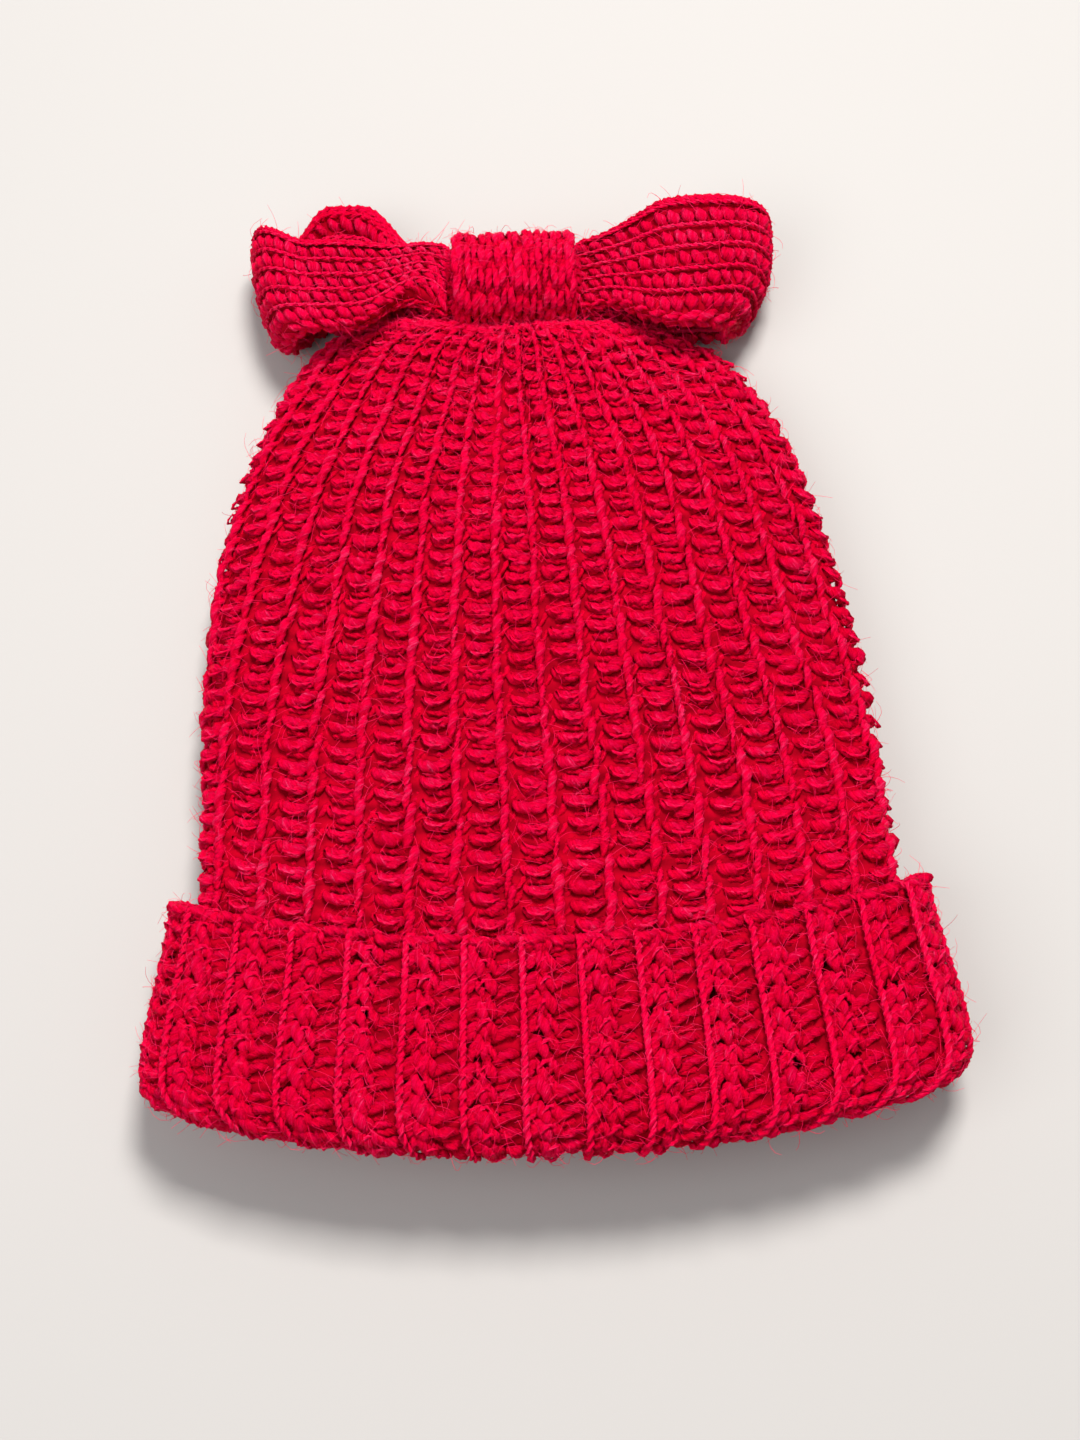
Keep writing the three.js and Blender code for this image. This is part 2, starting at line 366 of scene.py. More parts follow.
# Sweeps yarn along the paths of a mesh and keeps the result as a plain mesh object.
def grow(paths, name, inputs):
    holder = bpy.data.objects.new(name + "Paths", paths.mesh(name))
    scene.collection.objects.link(holder)
    modifier = holder.modifiers.new("grow", "NODES")
    modifier.node_group = sweptYarn
    for item in sweptYarn.interface.items_tree:
        if item.item_type == "SOCKET" and item.in_out == "INPUT" and item.name in inputs:
            modifier[item.identifier] = inputs[item.name]
    bpy.context.view_layer.update()
    graph = bpy.context.evaluated_depsgraph_get()
    finished = bpy.data.meshes.new_from_object(holder.evaluated_get(graph), depsgraph=graph)
    finished.name = name
    holder.modifiers.remove(modifier)
    bpy.data.objects.remove(holder)
    turnOutward(finished)
    print("  ", name, "triangles", len(finished.loop_triangles))
    return newObject(name, finished)


def newObject(name, held):
    made = bpy.data.objects.new(name, held)
    scene.collection.objects.link(made)
    return made


# Turns a closed mesh's faces outward, by the sign of the volume they enclose.
def turnOutward(mesh):
    mesh.calc_loop_triangles()
    points = np.empty(len(mesh.vertices) * 3, dtype=np.float64)
    mesh.vertices.foreach_get("co", points)
    points = points.reshape(-1, 3)
    corners = np.empty(len(mesh.loop_triangles) * 3, dtype=np.int32)
    mesh.loop_triangles.foreach_get("vertices", corners)
    a, b, c = (points[corners.reshape(-1, 3)[:, i]] for i in range(3))
    if np.einsum("ij,ij->i", a, np.cross(b, c)).sum() < 0:
        mesh.flip_normals()


# The hat's surface

hat = {
    "fabric": 7.0,
    "easing": 0.4,
    "crownHalfWidth": 91.0,
    "shoulderY": -20.0,
    "crownRise": 136.0,
    "mostRise": 0.9992,
    "crownRoundness": 0.2,
    "widthPower": 1.5,
    "mouthCavity": 11.0,
    "crownCavity": 14.0,
    "cavityPower": 4,
    "gathered": 2.0,
    "gatherPower": 16,
    "gatherRadius": 5.0,
    "gatherHalfHeight": 3.0,
    "evenRingsTo": 20.0,
    "ringCrowding": 1.7,
    "topRounding": 3.0,
    "roundingPower": 60,
    "cuffY": -58.0,
    "cuffGap": 0.6,
    "foldY": -105.0,
    "mouthFlare": 6.5,
    "drape": 40.0,
    "sag": 15.0,
    "tuck": 10.0,
    "aside": 3.0,
    "straightAgain": 60.0,
    "pressed": 3.2,
    "flatBack": 1.0,
    "leftShoulder": {"rise": 6.5, "x": -48.0, "halfWidth": 24.0, "startY": 78.0, "over": 30.0},
    "valley": {"depth": 6.0, "x": -8.0, "halfWidth": 9.5, "startY": 45.0, "over": 45.0},
    "valleyEnd": {"share": 0.75, "startY": 96.0, "over": 14.0},
    "plump": {"rise": 3.0, "x": 0.0, "halfWidth": 42.0, "startY": 88.0, "over": 22.0},
    "waves": {"rise": 1.3, "across": 0.055, "slant": 0.021, "up": 0.045, "phase": 1.2, "over": 60.0},
    "wavesEnd": {"startY": 70.0, "over": 40.0},
}
topY = hat["shoulderY"] + hat["crownRise"]
shift = np.array([-hat["aside"], crownTop - topY, 0.0])


def smooth(t):
    t = np.clip(t, 0, 1)
    return t * t * (3 - 2 * t)


def unit(vectors):
    return vectors / np.linalg.norm(vectors, axis=-1, keepdims=True)


def toPower(value, power):
    return np.sign(value) * np.abs(value) ** power


# How far a change that starts at some height has come.
def begun(y, change):
    return smooth((y - change["startY"]) / change["over"])


def swelling(x, shape, power=2):
    return np.exp(-(((x - shape["x"]) / shape["halfWidth"]) ** power))


# Half width, half height and underside of the crown's outer surface at a height y.
def sectionAt(y):
    rise = np.clip((y - hat["shoulderY"]) / hat["crownRise"], 0, hat["mostRise"])
    flare = hat["mouthFlare"] * smooth((hat["cuffY"] - y) / (hat["cuffY"] - hat["foldY"]))
    draped = smooth((y - hat["cuffY"]) / hat["drape"])
    opening = hat["mouthCavity"] + (hat["crownCavity"] - hat["mouthCavity"]) * draped
    halfWidth = hat["crownHalfWidth"] * (1 - rise ** hat["widthPower"]) ** hat["crownRoundness"] + flare
    halfHeight = hat["fabric"] + opening / 2 * (1 - rise ** hat["cavityPower"])
    halfHeight = halfHeight + hat["gathered"] * rise ** hat["gatherPower"]
    underside = (hat["fabric"] + hat["easing"]) * (1 - draped)
    return halfWidth, halfHeight, underside


# Where a point comes to lie: the mouth sags, its back is tucked in and it lies to one side.
def lying(x, y, up):
    share = 1 - smooth((y - hat["cuffY"]) / (hat["straightAgain"] - hat["cuffY"]))
    across = np.minimum(np.abs(x) / (hat["crownHalfWidth"] + hat["mouthFlare"] + hat["fabric"]), 1)
    down = hat["sag"] * (1 - across**2) - hat["tuck"] * (1 - up) / 2
    shoulder = hat["leftShoulder"]
    left = shoulder["rise"] * begun(y, shoulder) * swelling(x, shoulder)
    return x + hat["aside"] * share, y - down * share + left


# One ring round the hat. Its front has the crown's valley, its plump top and small waves.
def ringPoints(y, halfWidth, halfHeight, middleZ, angles):
    power = 2 / hat["pressed"]
    x = halfWidth * toPower(np.sin(angles), power)
    up = toPower(np.cos(angles), power)
    z = middleZ + np.where(up < 0, halfHeight + hat["flatBack"], halfHeight) * up
    z = np.maximum(z, middleZ - halfHeight)
    lieX, lieY = lying(x, y, up)
    wave, plump = hat["waves"], hat["plump"]
    valley = swelling(x, hat["valley"]) * begun(y, hat["valley"])
    valley = valley * (1 - hat["valleyEnd"]["share"] * begun(y, hat["valleyEnd"]))
    waves = np.sin(x * wave["across"] + y * wave["slant"]) * np.sin(y * wave["up"] + wave["phase"])
    waves = waves * wave["rise"] * smooth((y - hat["cuffY"]) / wave["over"])
    raised = plump["rise"] * begun(y, plump) * swelling(x, plump, 4)
    onFront = smooth(up * 2 - 0.4)
    fall = hat["valley"]["depth"] * valley - waves * (1 - begun(y, hat["wavesEnd"])) - raised
    return np.stack([lieX, lieY, z - fall * onFront], axis=-1)


# A grid of points on a surface that closes round s, with its outward directions.
# Rows follow t, and columns follow s.
class KnitSurface:
    def __init__(self, grid):
        self.grid = grid
        overS = np.roll(grid, -1, axis=1) - np.roll(grid, 1, axis=1)
        normal = np.cross(overS, np.gradient(grid, axis=0))
        normal /= np.maximum(np.linalg.norm(normal, axis=-1, keepdims=True), 1e-9)
        if ((grid - grid.mean(axis=1, keepdims=True)) * normal).sum() < 0:
            normal = -normal
        self.normal = normal
        loop = np.concatenate([grid, grid[:, :1]], axis=1)
        self.girth = np.linalg.norm(np.diff(loop, axis=1), axis=2).sum(axis=1)

    def pick(self, table, s, t):
        rows, columns = table.shape[:2]
        t = np.clip(t, 0, rows - 1.0001)
        place = np.mod(s, 1.0) * columns
        column = np.floor(place).astype(int)
        nextColumn = (column + 1) % columns
        a = (place - column)[..., None]
        column = column % columns
        row = np.floor(t).astype(int)
        b = (t - row)[..., None]
        low = table[row, column] * (1 - a) + table[row, nextColumn] * a
        high = table[row + 1, column] * (1 - a) + table[row + 1, nextColumn] * a
        return low * (1 - b) + high * b

    def at(self, s, t, height):
        return self.pick(self.grid, s, t) + self.pick(self.normal, s, t) * height[..., None]

    def girthAt(self, t):
        return self.girth[np.clip(t.astype(int), 0, len(self.girth) - 1)]

    # Distance along one column, from the first row on.
    def lengths(self, s):
        rows = np.arange(self.grid.shape[0] - 1, dtype=float)
        line = self.pick(self.grid, np.full(len(rows), s), rows)
        steps = np.linalg.norm(np.diff(line, axis=0), axis=1)
        return np.concatenate([[0], np.cumsum(steps)]), rows

    # Lengths along one column in even steps, and the rows they fall on.
    def evenSteps(self, s, step):
        run, rows = self.lengths(s)
        along = np.linspace(0, run[-1], int(run[-1] / step))
        return along, np.interp(along, run, rows)


def runOf(line):
    return np.concatenate([[0], np.cumsum(np.linalg.norm(np.diff(line, axis=0), axis=1))])


# Points at the wanted lengths along a line, whatever the number of its axes.
def alongLine(line, run, wanted):
    return np.stack([np.interp(wanted, run, line[:, i]) for i in range(line.shape[1])], axis=1)


def evenly(points, count):
    closedPoints = np.vstack([points, points[:1]])
    run = runOf(closedPoints)
    return alongLine(closedPoints, run, np.linspace(0, run[-1], count, endpoint=False))


gridColumns = 480
angles = np.linspace(-math.pi, math.pi, 721)[:-1]


def ringsToGrid(rings):
    return np.array([evenly(ringPoints(*ring, angles), gridColumns) for ring in rings])


def ringOut(y, out, section):
    halfWidth, halfHeight, underside = section
    return y, halfWidth + out, halfHeight + out, underside + halfHeight


def crownRings(outward, startY):
    rings = []
    crowded = np.linspace(1, 0, 60)[1:] ** hat["ringCrowding"]
    even = np.linspace(startY, hat["evenRingsTo"], 60)
    for y in np.concatenate([even, topY - (topY - hat["evenRingsTo"]) * crowded]):
        y, halfWidth, halfHeight, middleZ = ringOut(y, outward, sectionAt(y))
        rise = np.clip((y - hat["shoulderY"]) / hat["crownRise"], 0, 1)
        halfHeight -= hat["topRounding"] * rise ** hat["roundingPower"]
        rings.append((y, halfWidth, halfHeight, middleZ))
    for step in np.linspace(0, 1, 9)[1:]:
        narrower = halfWidth + (hat["gatherRadius"] - halfWidth) * step
        rings.append((y, narrower, halfHeight + (hat["gatherHalfHeight"] - halfHeight) * step, middleZ))
    return rings


# From the inside of the cuff's top edge, down its outside and round the fold to the inside.
def cuffRings(outward):
    full = hat["easing"] + hat["fabric"] + outward
    edge = (full - hat["cuffGap"]) / 2
    rings = []
    for turn in np.linspace(math.pi, 0, 12)[:-1]:
        y = hat["cuffY"] - edge * (1 - math.sin(turn))
        rings.append(ringOut(y, hat["cuffGap"] + edge + edge * math.cos(turn), sectionAt(y)))
    for y in np.linspace(hat["cuffY"] - edge, hat["foldY"], 40):
        rings.append(ringOut(y, full, sectionAt(y)))
    roll = hat["fabric"] + hat["easing"] / 2 + outward
    section = sectionAt(hat["foldY"])
    for turn in np.linspace(0, math.pi, 24)[1:]:
        out = hat["easing"] / 2 + roll * math.cos(turn)
        rings.append(ringOut(hat["foldY"] - roll * math.sin(turn), out, section))
    return rings


# Stitches

# Each stroke is a list of places (across the rib, along it in rows, height, radius of the yarn).
# A rib's first row starts at a random length, and the stitches shrink where the girth is smaller.
bodyStitch = {
    "girth": 400.0,
    "firstRow": 3,
    "top": 3.5,
    "rowPitch": 6.0,
    "strokes": [
        [  # the left half of a bar
            (0.05, 0.38, -0.3, 0.80), (0.09, 0.16, 1.3, 1.25), (0.19, -0.03, 2.4, 1.60),
            (0.33, -0.12, 2.8, 1.70), (0.46, -0.08, 2.3, 1.40), (0.55, 0.05, 1.0, 0.85),
        ],
        [  # the right half
            (0.28, -0.36, 0.9, 0.85), (0.39, -0.27, 2.2, 1.35), (0.52, -0.14, 2.8, 1.62),
            (0.64, 0.02, 2.3, 1.40), (0.73, 0.20, 1.1, 0.90),
        ],
        [  # the column of small leaning knots beside the bars
            (0.735, -0.72, 0.9, 0.70), (0.75, -0.38, 2.5, 1.08), (0.79, 0.00, 3.3, 1.28),
            (0.83, 0.38, 2.8, 1.08), (0.85, 0.72, 0.9, 0.65),
        ],
        [  # the strand in the groove
            (0.88, -0.36, 0.3, 0.60), (0.95, -0.12, 1.0, 0.90), (1.02, 0.16, 1.0, 0.85),
            (1.08, 0.42, 0.3, 0.55),
        ],
        [  # the strand behind two bars
            (0.08, 0.62, -0.2, 0.80), (0.25, 0.48, 1.1, 1.20), (0.44, 0.40, 1.5, 1.25),
            (0.62, 0.46, 1.1, 1.05), (0.74, 0.58, -0.2, 0.70),
        ],
        [  # a thin loose strand that lies over the bar
            (0.10, 0.18, 2.1, 0.30), (0.24, -0.22, 3.9, 0.52), (0.42, -0.30, 4.3, 0.58),
            (0.60, -0.06, 3.5, 0.40),
        ],
    ],
    "counts": [9, 8, 9, 4, 5, 5],
    "jitter": (0.028, 0.085, 0.40, 0.14),
}
cuffStitch = {
    "girth": 470.0,
    "firstRow": 2,
    "top": 3.5,
    "rowPitch": 5.4,
    "strokes": [
        [
            (0.12, 0.54, 1.2, 1.15), (0.15, 0.20, 2.1, 1.55), (0.20, -0.14, 2.3, 1.60),
            (0.27, -0.50, 1.7, 1.20),
        ],
        [
            (0.27, -0.60, 1.8, 1.15), (0.32, -0.28, 2.5, 1.62), (0.38, 0.06, 2.6, 1.70),
            (0.43, 0.38, 2.2, 1.40), (0.46, 0.62, 1.3, 0.95),
        ],
        [
            (0.43, -0.58, 1.3, 1.00), (0.49, -0.30, 2.1, 1.35), (0.55, 0.00, 2.2, 1.40),
            (0.59, 0.28, 1.4, 1.00),
        ],
        [
            (0.56, 0.44, 0.3, 0.85), (0.64, 0.14, 1.7, 1.25), (0.75, -0.02, 2.3, 1.42),
            (0.86, -0.10, 2.2, 1.35), (0.97, -0.10, 0.9, 0.85),
        ],
        [
            (0.54, 0.64, -0.2, 0.85), (0.66, 0.50, 0.7, 1.15), (0.80, 0.42, 0.7, 1.15),
            (0.94, 0.44, -0.2, 0.80),
        ],
        [
            (0.30, 0.20, 2.6, 0.35), (0.36, -0.10, 4.0, 0.55), (0.45, -0.30, 3.8, 0.55),
            (0.54, -0.20, 2.5, 0.35),
        ],
    ],
    "counts": [7, 9, 7, 8, 4, 5],
    "jitter": (0.024, 0.09, 0.34, 0.12),
}
ribs = 30
ribPhase = 0.4


# A smooth curve through a stroke's places.
def throughPlaces(places, count):
    p = np.array(places)
    p = np.vstack([2 * p[0] - p[1], p, 2 * p[-1] - p[-2]])
    spans = len(places) - 1
    t = np.linspace(0, spans, count)
    i = np.minimum(t.astype(int), spans - 1)
    f = (t - i)[:, None]
    a, b, c, d = p[i], p[i + 1], p[i + 2], p[i + 3]
    return 0.5 * (2 * b + (c - a) * f + (2 * a - 5 * b + 4 * c - d) * f**2 + (3 * b - a - 3 * c + d) * f**3)


# How far stitches shrink where the fabric is drawn in, and between which heights the painted shade of a stroke
# goes from darkest to none.
drawnIn = {"least": 0.2, "most": 1.1, "power": 0.6}
paintedShadeHeights = {"low": 0.4, "high": 3.2}
clearOfFloor = 1.3


# Gathers stitch paths and turns them into one mesh of edges for the yarn tree.
class Paths:
    def __init__(self, seed):
        self.chance = np.random.default_rng(seed)
        self.points, self.radii, self.depths, self.shades, self.edges = [], [], [], [], []
        self.count = 0

    # points has one row for each strand
    # The depths given darken each strand's colour as painted shade: 0 is darkest, 1 is none.
    def add(self, points, radii, depths):
        strands, length = points.shape[:2]
        shades = self.chance.random(strands)[:, None]
        index = self.count + np.arange(strands * length).reshape(strands, length)
        self.edges.append(np.stack([index[:, :-1].ravel(), index[:, 1:].ravel()], axis=1))
        self.points.append(points.reshape(-1, 3))
        for kept, values in ((self.radii, radii), (self.depths, depths), (self.shades, shades)):
            kept.append(np.broadcast_to(values, (strands, length)).ravel())
        self.count += strands * length

    def mesh(self, name):
        points = np.vstack(self.points)
        radii = np.concatenate(self.radii)
        points[:, 2] = np.maximum(points[:, 2], radii * clearOfFloor)
        points = (points + shift) / mmPerMetre
        made = bpy.data.meshes.new(name)
        edges = np.vstack(self.edges)
        made.vertices.add(len(points))
        made.vertices.foreach_set("co", points.astype(np.float32).ravel())
        made.edges.add(len(edges))
        made.edges.foreach_set("vertices", edges.astype(np.int32).ravel())
        for label, values in (
            ("yarnRadius", radii / mmPerMetre),
            ("yarnDepth", np.concatenate(self.depths)),
            ("yarnShade", np.concatenate(self.shades)),
        ):
            kept = made.attributes.new(label, "FLOAT", "POINT")
            kept.data.foreach_set("value", values.astype(np.float32))
        made.update()
        return made


# Works one rib's stitches from one end to the other.
def workRib(paths, surface, stitch, rib, ribCount, phase=0.0, crowding=0.0, lean=1):
    startAt = paths.chance.uniform(0, stitch["firstRow"])
    s0 = (rib + phase) / ribCount
    run, rows = surface.lengths(s0 + 0.5 / ribCount)
    count = int((run[-1] - startAt) / stitch["rowPitch"])
    steps = np.arange(count)
    strokes = list(stitch["strokes"])
    if stitch.get("mirrored"):
        strokes += [[(round(1 - u, 2), *rest) for u, *rest in places] for places in strokes]
    highest = min(max(place[2] for places in strokes for place in places), paintedShadeHeights["high"])
    for places, samples in zip(strokes, stitch["counts"]):
        shape = throughPlaces(places, samples)
        u, v, h, r = (shape[None, :, i] for i in range(4))
        du, dv, dh, dr = (paths.chance.normal(0, 1, (count, 1)) * j for j in stitch["jitter"])
        length = startAt + (steps[:, None] + 0.5 + v * lean + dv) * stitch["rowPitch"]
        t = np.interp(length, run, rows)
        share = surface.girthAt(t) / stitch["girth"]
        size = np.clip(share, drawnIn["least"], drawnIn["most"]) ** drawnIn["power"]
        height = (h + dh - stitch["top"]) * size
        s = s0 + (u + du) / ribCount
        s = s - crowding * (t / len(rows)) ** 2 * np.sin(2 * math.pi * (s - 0.5)) / (2 * math.pi)
        # Lower parts of a stroke get more painted shade.
        depth = np.clip((h + paintedShadeHeights["low"]) / (highest + paintedShadeHeights["low"]), 0, 1)
        paths.add(surface.at(s, t, height), r * (1 + dr) * size, depth)


crownSurface = KnitSurface(ringsToGrid(crownRings(0.0, -76.0)))
cuffSurface = KnitSurface(ringsToGrid(cuffRings(0.0)))
print("surfaces ready")

# The ribs that each piece holds, counted round from the middle of the back, and its random seed.
crownPieces = {
    "crownKnitFrontLeft": (range(7, 15), 11),
    "crownKnitFrontRight": (range(15, 22), 12),
    "crownKnitBackRight": (range(22, 30), 13),
    "crownKnitBackLeft": (range(0, 7), 14),
}
cuffPieces = {
    "cuffKnitFront": (range(7, 22), 21),
    "cuffKnitBack": ([rib % ribs for rib in range(22, 37)], 22),
}
# The ribs of the crown crowd together in its middle.
crownCrowding = 0.55
# The fabric's thickness under a rib's stitches, which keeps the rib round. Its low depth darkens it as painted
# shade.
ribFilling = {"places": (0.21, 0.43), "step": 3, "height": -2.5, "radius": 2.2, "depth": 0.30}
# The single strand that runs between two ribs: two plies twisted round each other.
cord = {"step": 1.3, "wander": 0.05, "kept": 0.35, "twist": 1.05, "apart": 0.5, "plyRadius": 0.72}
cuffCord = {"u": 0.065, "thick": 1.0, "high": 0.25, "depth": 0.95}
# The chain along the cuff's top edge, one loop over each half of a rib. Its row, height and radius
# are waves along the loop: middle, swing, rate and phase.
boundOff = {
    "link": (-0.1, 1.15, 9),
    "row": (4.6, 4.4, 2.6, 0.2),
    "height": (-1.2, 1.7, 2.9, 0.0),
    "radius": (0.85, 0.65, 2.5, 0.3),
    "uneven": {"s": 0.0012, "row": 0.5, "height": 0.3},
    "depth": 0.8,
}


def knitCrown(name, which, seed):
    paths = Paths(seed)
    for rib in which:
        workRib(paths, crownSurface, bodyStitch, rib, ribs, ribPhase, crownCrowding)
    return grow(paths, name, {"Yarn": hatYarn, "Seed": float(seed)})


def knitCuff(name, which, seed):
    paths = Paths(seed)
    for rib in which:
        first = rib + ribPhase
        workRib(paths, cuffSurface, cuffStitch, rib, ribs, ribPhase)
        cordBetween(paths, cuffSurface, (first + cuffCord["u"]) / ribs, cuffCord)
        for u in ribFilling["places"]:
            middleOfRib(paths, cuffSurface, (first + u) / ribs)
    boundOffEdge(paths, cuffSurface, which)
    return grow(paths, name, {"Yarn": hatYarn, "Seed": float(seed)})


def boundOffEdge(paths, surface, which):
    count = len(which) * 2
    first = (which[0] + ribPhase) / ribs
    link = np.linspace(*boundOff["link"])[None, :]
    spreads = boundOff["uneven"].items()
    uneven = {key: paths.chance.normal(0, spread, (count, 1)) for key, spread in spreads}

    def wave(key):
        middle, swing, rate, phase = boundOff[key]
        return middle + swing * np.sin(link * rate + phase)

    s = first + (np.arange(count)[:, None] + link) / (2 * ribs) + uneven["s"]
    points = surface.at(s, wave("row") + uneven["row"], wave("height") + uneven["height"])
    paths.add(points, wave("radius"), boundOff["depth"])


def middleOfRib(paths, surface, s):
    t = surface.evenSteps(s, ribFilling["step"])[1]
    strand = surface.at(np.full(len(t), s), t, np.full(len(t), ribFilling["height"]))
    paths.add(strand[None], ribFilling["radius"], ribFilling["depth"])


def cordBetween(paths, surface, s, look):
    along, t = surface.evenSteps(s, cord["step"])
    girth = surface.girthAt(t)
    size = np.clip(girth / surface.girth.max(), drawnIn["least"], 1) ** drawnIn["power"]
    wander = np.cumsum(paths.chance.normal(0, cord["wander"], len(along))) * cord["kept"]
    wander -= np.linspace(wander[0], wander[-1], len(along))
    apart = cord["apart"] * look["thick"]
    for ply in (0, math.pi):
        turn = along * cord["twist"] + ply
        aside = (np.cos(turn) * apart * size + wander) / girth
        strand = surface.at(s + aside, t, (look["high"] + np.sin(turn) * apart) * size)
        paths.add(strand[None], look["thick"] * cord["plyRadius"] * size, look["depth"])


print("crown stitches")
crownKnit = [knitCrown(name, *held) for name, held in crownPieces.items()]
print("cuff stitches")
cuffKnit = [knitCuff(name, *held) for name, held in cuffPieces.items()]


# A closed shell from a grid whose columns run round it. The ends are capped unless the rows meet.
def closedShell(name, grid, rowsMeet, clear):
    rows, columns = grid.shape[:2]
    points = (grid.reshape(-1, 3) + shift) / mmPerMetre
    points[:, 2] = np.maximum(points[:, 2], clear)
    faces = []
    for i in range(rows if rowsMeet else rows - 1):
        here, following = i * columns, ((i + 1) % rows) * columns
        for j in range(columns):
            k = (j + 1) % columns
            faces.append((here + j, here + k, following + k, following + j))
    if not rowsMeet:
        faces.append(tuple(range(columns))[::-1])
        faces.append(tuple((rows - 1) * columns + j for j in range(columns)))
    mesh = bpy.data.meshes.new(name)
    mesh.from_pydata(points.tolist(), [], faces)
    mesh.update()
    turnOutward(mesh)
    mesh.polygons.foreach_set("use_smooth", [True] * len(mesh.polygons))
    mesh.materials.append(lining)
    return newObject(name, mesh)


# How far the fabric under the stitches lies from their outer side, and from the floor in metres.
hatLining = {
    "columns": 120,
    "clear": 0.0004,
    "crown": -2.3,
    "crownInside": -6.6,
    "lower": {"by": 4.2, "startY": 60.0, "over": 50.0},
    "thinnest": 1.5,
    "cuff": -2.4,
    "cuffInside": 0.7,
    "foldClear": 1.2,
    "edgeClear": 4.0,
}


def liningFromRings(name, rings):
    turns = np.linspace(-math.pi, math.pi, hatLining["columns"] + 1)[:-1]
    return closedShell(name, np.array([ringPoints(*ring, turns) for ring in rings]), True, hatLining["clear"])


def lineHat():
    lower, thinnest = hatLining["lower"], hatLining["thinnest"]
    inside = [
        (y - lower["by"] * begun(y, lower), halfWidth, max(halfHeight, thinnest), middleZ)
        for y, halfWidth, halfHeight, middleZ in crownRings(hatLining["crownInside"], hat["foldY"])
    ]
    crown = liningFromRings("crownLining", crownRings(hatLining["crown"], hat["foldY"]) + inside[::-1])
    low, high = hat["foldY"] - hatLining["foldClear"], hat["cuffY"] - hatLining["edgeClear"]
    inside = [ringOut(y, hatLining["cuffInside"], sectionAt(y)) for y in np.linspace(low, high, 20)]
    return crown, liningFromRings("cuffLining", cuffRings(hatLining["cuff"]) + inside)


crownLining, cuffLining = lineHat()

for piece in crownKnit + cuffKnit + [crownLining, cuffLining]:
    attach(piece, "hat")
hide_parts("crown_shell")
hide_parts("turned_up_cuff")

# Bow

print("bow")

bow = {
    "wrapHalfLength": 18.0,
    "wrapRadius": 13.9,
    "wrapWall": 4.6,
    "middleY": 130.3,
    "middleZ": 17.8,
    "rootX": 19.9,
    "rootLow": 12.7,
    "rootHigh": 20.18,
    "rootThickness": 3.6,
    "intoWrap": 7.0,
    "loopEnd": 76.0,
    "loopHeight": 32.0,
    "width": 38.0,
    "neckHalf": 6.8,
    "rootHalf": 11.5,
    "insideWrap": 16.5,
    "insideOver": 3.0,
    "pinchStart": 19.5,
    "pinchEnd": 46.0,
    "rootSpread": (20.0, 6.0),
    "thickness": 6.0,
    "thickStart": 20.0,
    "thickOver": 14.0,
    "edgeBend": 2.6,
    "wrapBend": 1.6,
    "wrapOverlap": 0.35,
    "lift": 1.2,
    "left": {"side": -1, "skew": 11.5, "shorter": 9.0, "slip": 11.0, "curl": 9.0, "droop": 2.0, "fan": 0.20},
    "right": {"side": 1, "skew": 4.0, "shorter": 13.0, "slip": 0.0, "curl": 0.0, "droop": 4.0, "fan": 0.0},
}
# Where a loop's layers lean: the wait and the reach from its root, the place and the reach at its end.
bowChanges = {
    "skew": (0.0, 24.0, -6.0, 16.0),
    "slip": (0.0, 26.0, 2.0, 20.0),
    "curl": (4.0, 14.0, -8.0, 14.0),
    "droop": (0.0, 16.0, -4.0, 20.0),
}
bandRibs = 12
wrapRibs = 18
# The band's edge away from the crown is turned under and smooth.
smoothEdgeRib = 5
openEdgeRib = 11
smoothEdge = {"places": (0.12, 0.38, 0.64, 0.90), "thick": 1.15, "high": -0.7, "depth": 0.8}
bandCord = {"u": 0.89, "thick": 0.66, "high": 0.05, "depth": 1.0}
bowLayers = {"backTop": 19.2, "backOver": 16.0, "frontStart": 16.0, "frontOver": 8.0}
bowFan = {"wait": 3.0, "over": 25.0, "startX": 17.0, "within": 6.0}
bowStitch = {
    "girth": 88.0,
    "firstRow": 3,
    "top": 2.9,
    "rowPitch": 4.1,
    "strokes": [
        [
            (0.02, -0.48, 0.9, 0.80), (0.19, -0.27, 1.9, 1.42), (0.40, 0.02, 2.3, 1.66),
            (0.60, 0.28, 1.8, 1.30), (0.74, 0.48, 0.5, 0.75),
        ],
        [
            (0.60, -0.60, -0.4, 0.60), (0.72, -0.20, 0.2, 0.85), (0.85, 0.30, 0.3, 0.80),
        ],
    ],
    "counts": [8, 4],
    "jitter": (0.030, 0.07, 0.2, 0.10),
}
edgeStitch = {
    "girth": 88.0,
    "firstRow": 3,
    "top": 2.9,
    "rowPitch": 5.0,
    "strokes": [
        [(0.02, 0.62, 0.9, 0.70), (0.24, 0.15, 2.3, 1.25), (0.50, -0.50, 1.0, 0.70)],
    ],
    "mirrored": True,
    "counts": [7, 7],
    "jitter": (0.02, 0.05, 0.15, 0.08),
}
wrapStitch = {
    "girth": 80.0,
    "firstRow": 6,
    "top": 2.3,
    "rowPitch": 8.2,
    "strokes": [
        [
            (0.52, -0.70, -0.4, 0.65), (0.34, -0.30, 0.8, 0.98), (0.23, 0.15, 1.4, 1.12),
            (0.18, 0.55, 1.1, 1.02), (0.20, 0.90, -0.4, 0.65),
        ],
    ],
    "mirrored": True,
    "counts": [12, 12],
    "jitter": (0.06, 0.08, 0.25, 0.12),
}


def bezier(a, b, c, d, count):
    t = np.linspace(0, 1, count)[:, None]
    a, b, c, d = (np.array(p, dtype=float) for p in (a, b, c, d))
    return (1 - t) ** 3 * a + 3 * (1 - t) ** 2 * t * b + 3 * (1 - t) * t**2 * c + t**3 * d


